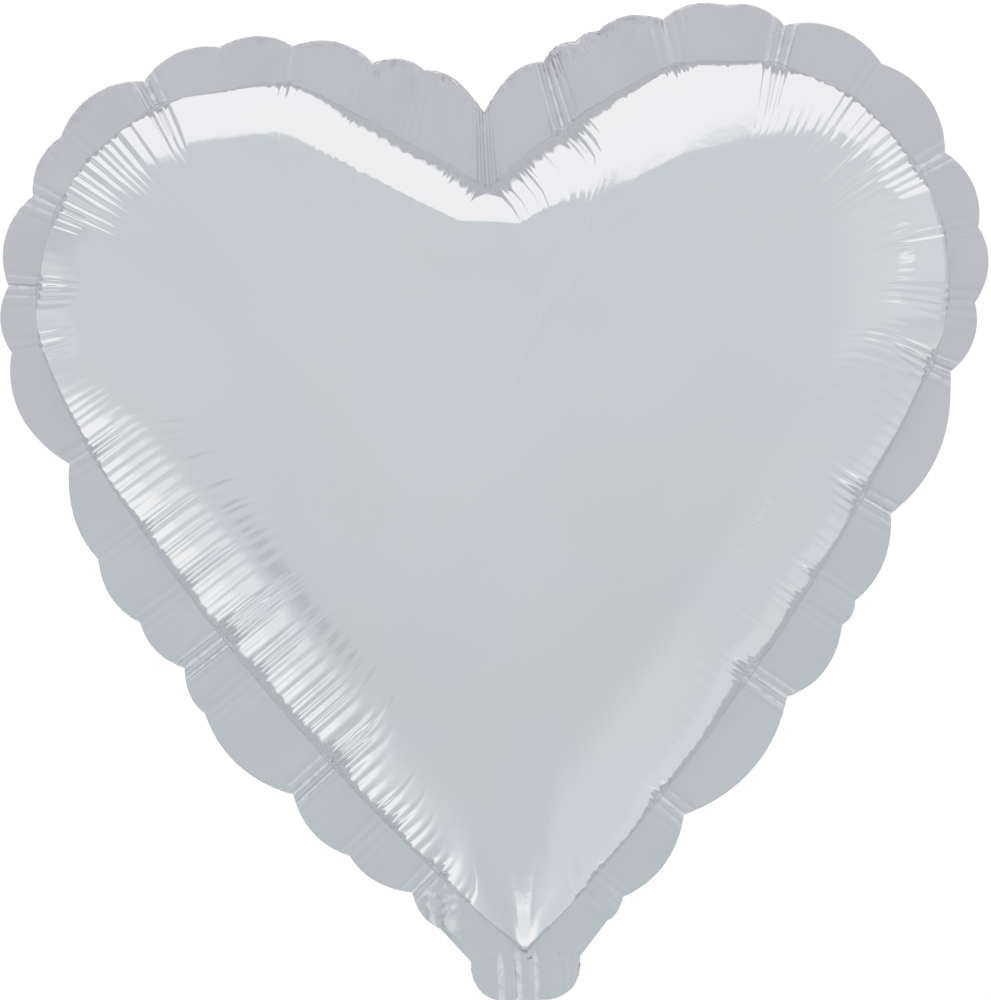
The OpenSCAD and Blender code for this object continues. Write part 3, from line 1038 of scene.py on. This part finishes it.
# %% [markdown]
# ## The valve and the tail's side welds
# Inside hangs a flat self-sealing valve: two clear films, welded along both edges, with a release coat that
# keeps the mouth open where the rim is welded across it. The tail has a weld along each side, and between
# them a sleeve for the filling nozzle. All are thin plates that share the sway of the neck.

# %% Plates of valve and tail
PLATE_STEP = 1.2
PLATE_ROWS = [0.0, 0.01, 0.025, 0.045, 0.07, 0.11, 0.2, 0.4, 0.7, 1.0]
TAIL_PLATE_ROWS = [0.0, 0.12, 0.26, 0.42, 0.58, 0.74, 0.88, 1.0]
SHARP_FROM = math.radians(50)


def plate(name, x_ends, y_ends, z_ends, shares, node, body, finish):
    """A thin closed plate between two heights, which may be functions of x."""
    columns = max(2, round((x_ends[1] - x_ends[0]) / PLATE_STEP)) + 1
    x = np.linspace(*x_ends, columns)
    start, end = (np.full(columns, z) if np.isscalar(z) else z(x) for z in z_ends)
    points = []
    for y in y_ends:
        for f in shares:
            z = start + f * (end - start)
            points.append(np.stack([x, y + neck_sway(x, z), z], 1))
    layers = np.arange(2 * len(shares) * columns).reshape(2, len(shares), columns)
    faces = []
    for layer in layers:
        for a, b in zip(layer, layer[1:]):
            faces += strip(a, b)
    faces += strip(*(np.concatenate([g[0], g[1:, -1], g[-1, -2::-1], g[-2::-1, 0]]) for g in layers))
    obj = add_mesh(name, points, faces)
    face_outwards(obj.data)
    obj.data.materials.append(finish)
    obj.data.shade_smooth()
    obj.data.set_sharp_from_angle(angle=SHARP_FROM)
    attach(obj, body)
    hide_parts(node)
    print(name, "vertices:", len(obj.data.vertices))


# %% Valve, release coat and side welds
VALVE_LEN = 120.0
EDGE_W = 3.0
STRIP_OVER = 8.0
STRIP_GAP = 0.5
valve_top = NECK_LEN + VALVE_LEN
strip_r = VALVE_R - EDGE_W - STRIP_GAP
clear_finish = plain_film("clear valve film", (0.9, 0.93, 0.95, 1.0), 0.12, 400.0, clear=0.85)
edge_finish = plain_film("valve edge weld", (0.8, 0.83, 0.86, 1.0), 0.3, 600.0)
release_finish = plain_film("release coat", (0.42, 0.55, 0.72, 1.0), 0.5, 900.0)

valve_x = (-VALVE_R, VALVE_R)
left_x = (-VALVE_R, EDGE_W - VALVE_R)
right_x = (VALVE_R - EDGE_W, VALVE_R)
front_y = (-GAP / 2, -GAP / 2 + VALVE_T)
back_y = (GAP / 2 - VALVE_T, GAP / 2)
between_y = (-STRIP_T / 2, STRIP_T / 2)
valve_z = (CREASE, valve_top)
coat_x = (-strip_r, strip_r)
coat_z = (CREASE, weld_z(strip_r) + STRIP_OVER)
# name, ends across, ends in depth, ends in height, node, finish and slot
valve_layers = [
    ("valve_film_front", valve_x, front_y, valve_z, "valve_front_film", clear_finish, "valve_film"),
    ("valve_film_back", valve_x, back_y, valve_z, "valve_back_film", clear_finish, "valve_film"),
    ("valve_edge_left", left_x, between_y, valve_z, "valve_edge_weld_left", edge_finish, "valve_weld"),
    ("valve_edge_right", right_x, between_y, valve_z, "valve_edge_weld_right", edge_finish, "valve_weld"),
    ("release_coat", coat_x, between_y, coat_z, "release_strip", release_finish, "release_coat"),
]
for name, x_ends, y_ends, z_ends, node, finish, slot in valve_layers:
    shares = PLATE_ROWS if z_ends == valve_z else TAIL_PLATE_ROWS
    plate(name, x_ends, y_ends, z_ends, shares, node, "heart", finish)
for hand, x_ends in (("left", (-TAIL_R, -VALVE_R)), ("right", (VALVE_R, TAIL_R))):
    plate(
        "tail_weld_" + hand, x_ends, (-GAP / 2, GAP / 2), (-CREASE, tail_end), TAIL_PLATE_ROWS,
        "tail_side_weld_" + hand, "tail", weld_finish,
    )

# %% [markdown]
# ## Studio
# A mirror shows the room, so the room is what has to be built. In front is a pale grey wall, which the
# middle of the balloon shows. White cards stand round it, and their edges draw the highlights on the
# shoulders of the dome. All of it is one world shader that reads only the direction, and the camera itself
# sees plain white.

# %% World
FRONT_LOW = (0.632, 0.662, 0.68, 1.0)
FRONT_GREY = (0.652, 0.688, 0.708, 1.0)
FRONT_PALE = (0.682, 0.714, 0.738, 1.0)
SIDE_GREY = (0.6, 0.625, 0.65, 1.0)
BACK_GREY = (0.62, 0.64, 0.665, 1.0)
SHADE = (0.54, 0.57, 0.59, 1.0)
PALE = (0.73, 0.755, 0.77, 1.0)
MILKY = (0.67, 0.705, 0.722, 1.0)
LOW_PALE = (0.705, 0.74, 0.756, 1.0)
BRIGHT = (0.86, 0.875, 0.885, 1.0)
WHITE = (1.0, 1.0, 1.0, 1.0)
# angles away from the front at which the wall's colour changes
SIDE_WALL = (74.0, 100.0)
BACK_WALL = (145.0, 165.0)
# each card: degrees round the balloon from its right over the top, degrees out from the front,
# softness of the edge, and colour; a later card covers an earlier one
CARDS = [
    ((50, 134), (76, 139), 3, WHITE),
    ((28, 54), (88, 160), 5, WHITE),
    ((-8, 30), (60, 116), 6, PALE),
    ((168, 192), (84, 150), 6, PALE),
    ((-61, -12), (62, 150), 6, MILKY),
    ((-68, -43), (68, 150), 5, LOW_PALE),
    ((-52, -26), (116, 160), 5, PALE),
    ((184, 233), (74, 165), 6, MILKY),
    ((206, 222), (62, 71), 3, SHADE),
    ((197, 230), (84, 165), 5, PALE),
    ((202, 224), (79, 165), 4, BRIGHT),
    ((204, 222), (104, 165), 4, WHITE),
    ((252, 285), (92, 165), 5, WHITE),
    ((-105, -60), (92, 165), 5, WHITE),
    ((260, 285), (72, 100), 4, WHITE),
    ((-105, -76), (72, 100), 4, WHITE),
    ((8, 13), (74, 83), 1.5, WHITE),
    ((-26.5, -25.5), (69, 72), 1, WHITE),
]


def card(tree, turn, away, round_ends, out_ends, soft):
    """How far a direction falls on a card, from 0 to 1."""
    edges = []
    for angle, (start, end) in ((turn, round_ends), (away, out_ends)):
        edges.append(ramp(tree, angle, start - soft, start + soft))
        edges.append(ramp(tree, angle, end - soft, end + soft, 1.0, 0.0))
    return product(tree, *edges)


def studio_world():
    world = bpy.data.worlds.new("studio")
    world.use_nodes = True
    tree = world.node_tree
    direction = add_node(tree, "ShaderNodeTexCoord")["Generated"]
    x, y, z = add_node(tree, "ShaderNodeSeparateXYZ", {0: direction})
    away = maths(tree, "DEGREES", maths(tree, "ARCCOSINE", product(tree, y, -1.0)))
    # turned by a quarter, so that the angle jumps straight below
    quarter = maths(tree, "ARCTAN2", product(tree, x, -1.0), z)
    turn = maths(tree, "ADD", maths(tree, "DEGREES", quarter), 90.0)
    cloud = ramp(tree, noise(tree, direction, 1.6, 1.0), 0.35, 0.65)
    wall = colour_mix(tree, cloud, FRONT_GREY, FRONT_PALE)
    wall = colour_mix(tree, ramp(tree, z, -0.75, 0.2), FRONT_LOW, wall)
    colour = colour_mix(tree, ramp(tree, away, *SIDE_WALL), wall, SIDE_GREY)
    colour = colour_mix(tree, ramp(tree, away, *BACK_WALL), colour, BACK_GREY)
    for round_ends, out_ends, soft, paint in CARDS:
        colour = colour_mix(tree, card(tree, turn, away, round_ends, out_ends, soft), colour, paint)
    seen = add_node(tree, "ShaderNodeLightPath")["Is Camera Ray"]
    give(tree, tree.nodes["Background"], {"Color": colour_mix(tree, seen, colour, WHITE), "Strength": 1.0})
    bpy.context.scene.world = world


studio_world()
bpy.context.scene.view_settings.view_transform = "Standard"
print("cards round the balloon:", len(CARDS))

# %% Floor
FLOOR_R = 0.45
FLOOR_Z = -2.0
FLOOR_PALE = (0.82, 0.82, 0.83, 1.0)
FLOOR_GLOW = 0.7


def studio_floor():
    mesh = bpy.data.meshes.new("floor")
    disc = bmesh.new()
    bmesh.ops.create_circle(disc, cap_ends=True, segments=96, radius=FLOOR_R)
    bmesh.ops.translate(disc, verts=disc.verts, vec=(0, 0, FLOOR_Z))
    disc.to_mesh(mesh)
    disc.free()
    material, tree, shader = new_material("pale floor")
    give(tree, shader, {"Base Color": FLOOR_PALE, "Roughness": 0.7})
    glow = add_node(tree, "ShaderNodeEmission", {"Color": WHITE})[0]
    rays = add_node(tree, "ShaderNodeLightPath")
    shown = maths(tree, "MAXIMUM", rays["Is Camera Ray"], rays["Is Glossy Ray"])
    shown = maths(tree, "MAXIMUM", shown, rays["Is Transmission Ray"])
    share = product(tree, shown, FLOOR_GLOW)
    mix = add_node(tree, "ShaderNodeMixShader", {0: share, 1: shader.outputs[0], 2: glow})[0]
    give(tree, tree.nodes["Material Output"], {"Surface": mix})
    mesh.materials.append(material)
    floor = bpy.data.objects.new("floor", mesh)
    bpy.context.collection.objects.link(floor)


studio_floor()
print("floor, metres below the balloon:", -FLOOR_Z)
